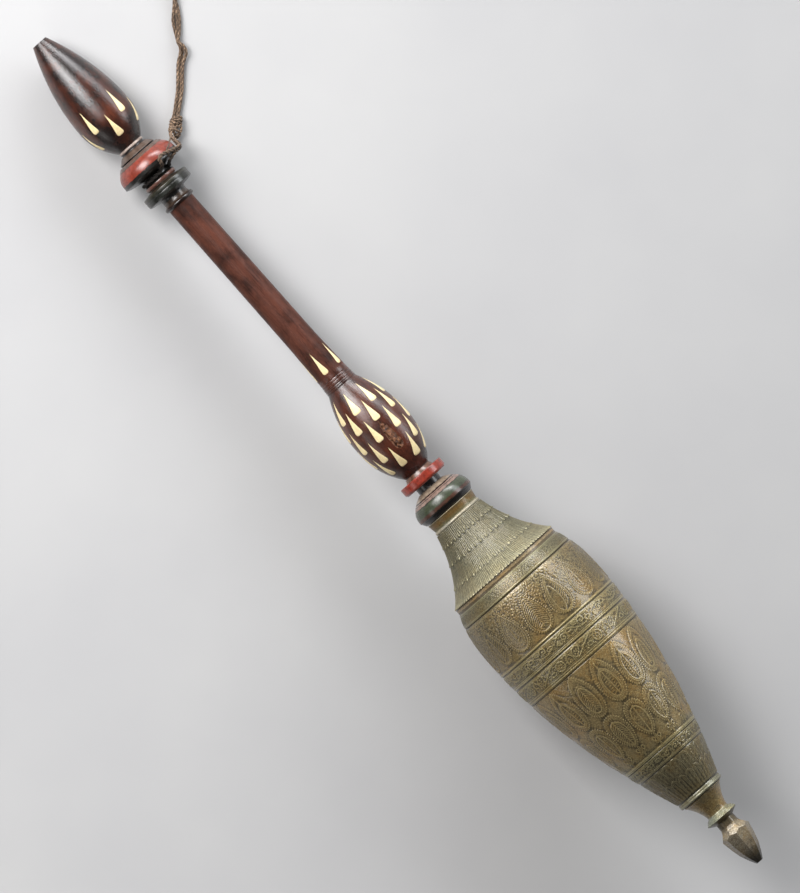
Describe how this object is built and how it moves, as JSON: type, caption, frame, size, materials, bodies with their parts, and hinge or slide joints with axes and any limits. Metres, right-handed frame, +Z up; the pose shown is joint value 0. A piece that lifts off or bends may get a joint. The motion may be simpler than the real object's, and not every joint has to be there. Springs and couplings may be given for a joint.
{
  "type": "ceremonial staff",
  "caption": "Ceremonial staff lying down: turned dark wood inlaid with bone drops, red lacquered discs and a hollow chased brass head with a lotus bud tip.",
  "frame": {"origin": "centre of the staff's length, under it, on the surface that it lies on", "axes": "+X along the staff towards the brass tip, +Z up, +Y to the side that the twine lies on"},
  "size_m": [0.871, 0.1765, 0.1181],
  "materials": {
    "dark_wood": "dark oiled and lacquered wood",
    "bone": "polished old bone",
    "old_brass": "chased brass with olive patina",
    "pale_brass": "brass with pale grey-green patina",
    "dark_brass": "darkened brass",
    "twine": "plied plant fibre"
  },
  "bodies": {
    "root": {"bone_drop_mid_bulb_1_1": "bone", "bone_drop_mid_bulb_1_2": "bone", "bone_drop_mid_bulb_1_3": "bone", "bone_drop_mid_bulb_1_4": "bone", "bone_drop_mid_bulb_1_5": "bone", "bone_drop_mid_bulb_1_6": "bone", "bone_drop_mid_bulb_1_7": "bone", "bone_drop_mid_bulb_1_8": "bone", "bone_drop_mid_bulb_2_1": "bone", "bone_drop_mid_bulb_2_2": "bone", "bone_drop_mid_bulb_2_3": "bone", "bone_drop_mid_bulb_2_4": "bone", "bone_drop_mid_bulb_2_5": "bone", "bone_drop_mid_bulb_2_6": "bone", "bone_drop_mid_bulb_2_7": "bone", "bone_drop_mid_bulb_2_8": "bone", "bone_drop_mid_bulb_3_1": "bone", "bone_drop_mid_bulb_3_2": "bone", "bone_drop_mid_bulb_3_3": "bone", "bone_drop_mid_bulb_3_4": "bone", "bone_drop_mid_bulb_3_5": "bone", "bone_drop_mid_bulb_3_6": "bone", "bone_drop_mid_bulb_3_7": "bone", "bone_drop_mid_bulb_3_8": "bone", "bone_drop_mid_bulb_4_2": "bone", "bone_drop_mid_bulb_4_3": "bone", "bone_drop_mid_bulb_4_4": "bone", "bone_drop_mid_bulb_4_5": "bone", "bone_drop_mid_bulb_4_6": "bone", "bone_drop_mid_bulb_4_7": "bone", "bone_drop_mid_bulb_4_8": "bone", "bone_drop_mid_bulb_5_1": "bone", "bone_drop_mid_bulb_5_2": "bone", "bone_drop_mid_bulb_5_3": "bone", "bone_drop_mid_bulb_5_4": "bone", "bone_drop_mid_bulb_5_5": "bone", "bone_drop_mid_bulb_5_6": "bone", "bone_drop_mid_bulb_5_7": "bone", "bone_drop_mid_bulb_5_8": "bone", "bone_drop_shaft_1": "bone", "bone_drop_shaft_2": "bone", "bone_drop_shaft_3": "bone", "bone_drop_shaft_4": "bone", "bone_drop_shaft_5": "bone", "bone_drop_top_bulb_1_1": "bone", "bone_drop_top_bulb_1_2": "bone", "bone_drop_top_bulb_1_3": "bone", "bone_drop_top_bulb_1_4": "bone", "bone_drop_top_bulb_1_5": "bone", "bone_drop_top_bulb_2_1": "bone", "bone_drop_top_bulb_2_2": "bone", "bone_drop_top_bulb_2_3": "bone", "bone_drop_top_bulb_2_4": "bone", "bone_drop_top_bulb_2_5": "bone", "brass_body": "old_brass", "brass_foot": "dark_brass", "brass_neck_cap": "pale_brass", "cord_neck_tie": "twine", "cord_run": "twine", "handle": "dark_wood"}
  },
  "joints": []
}
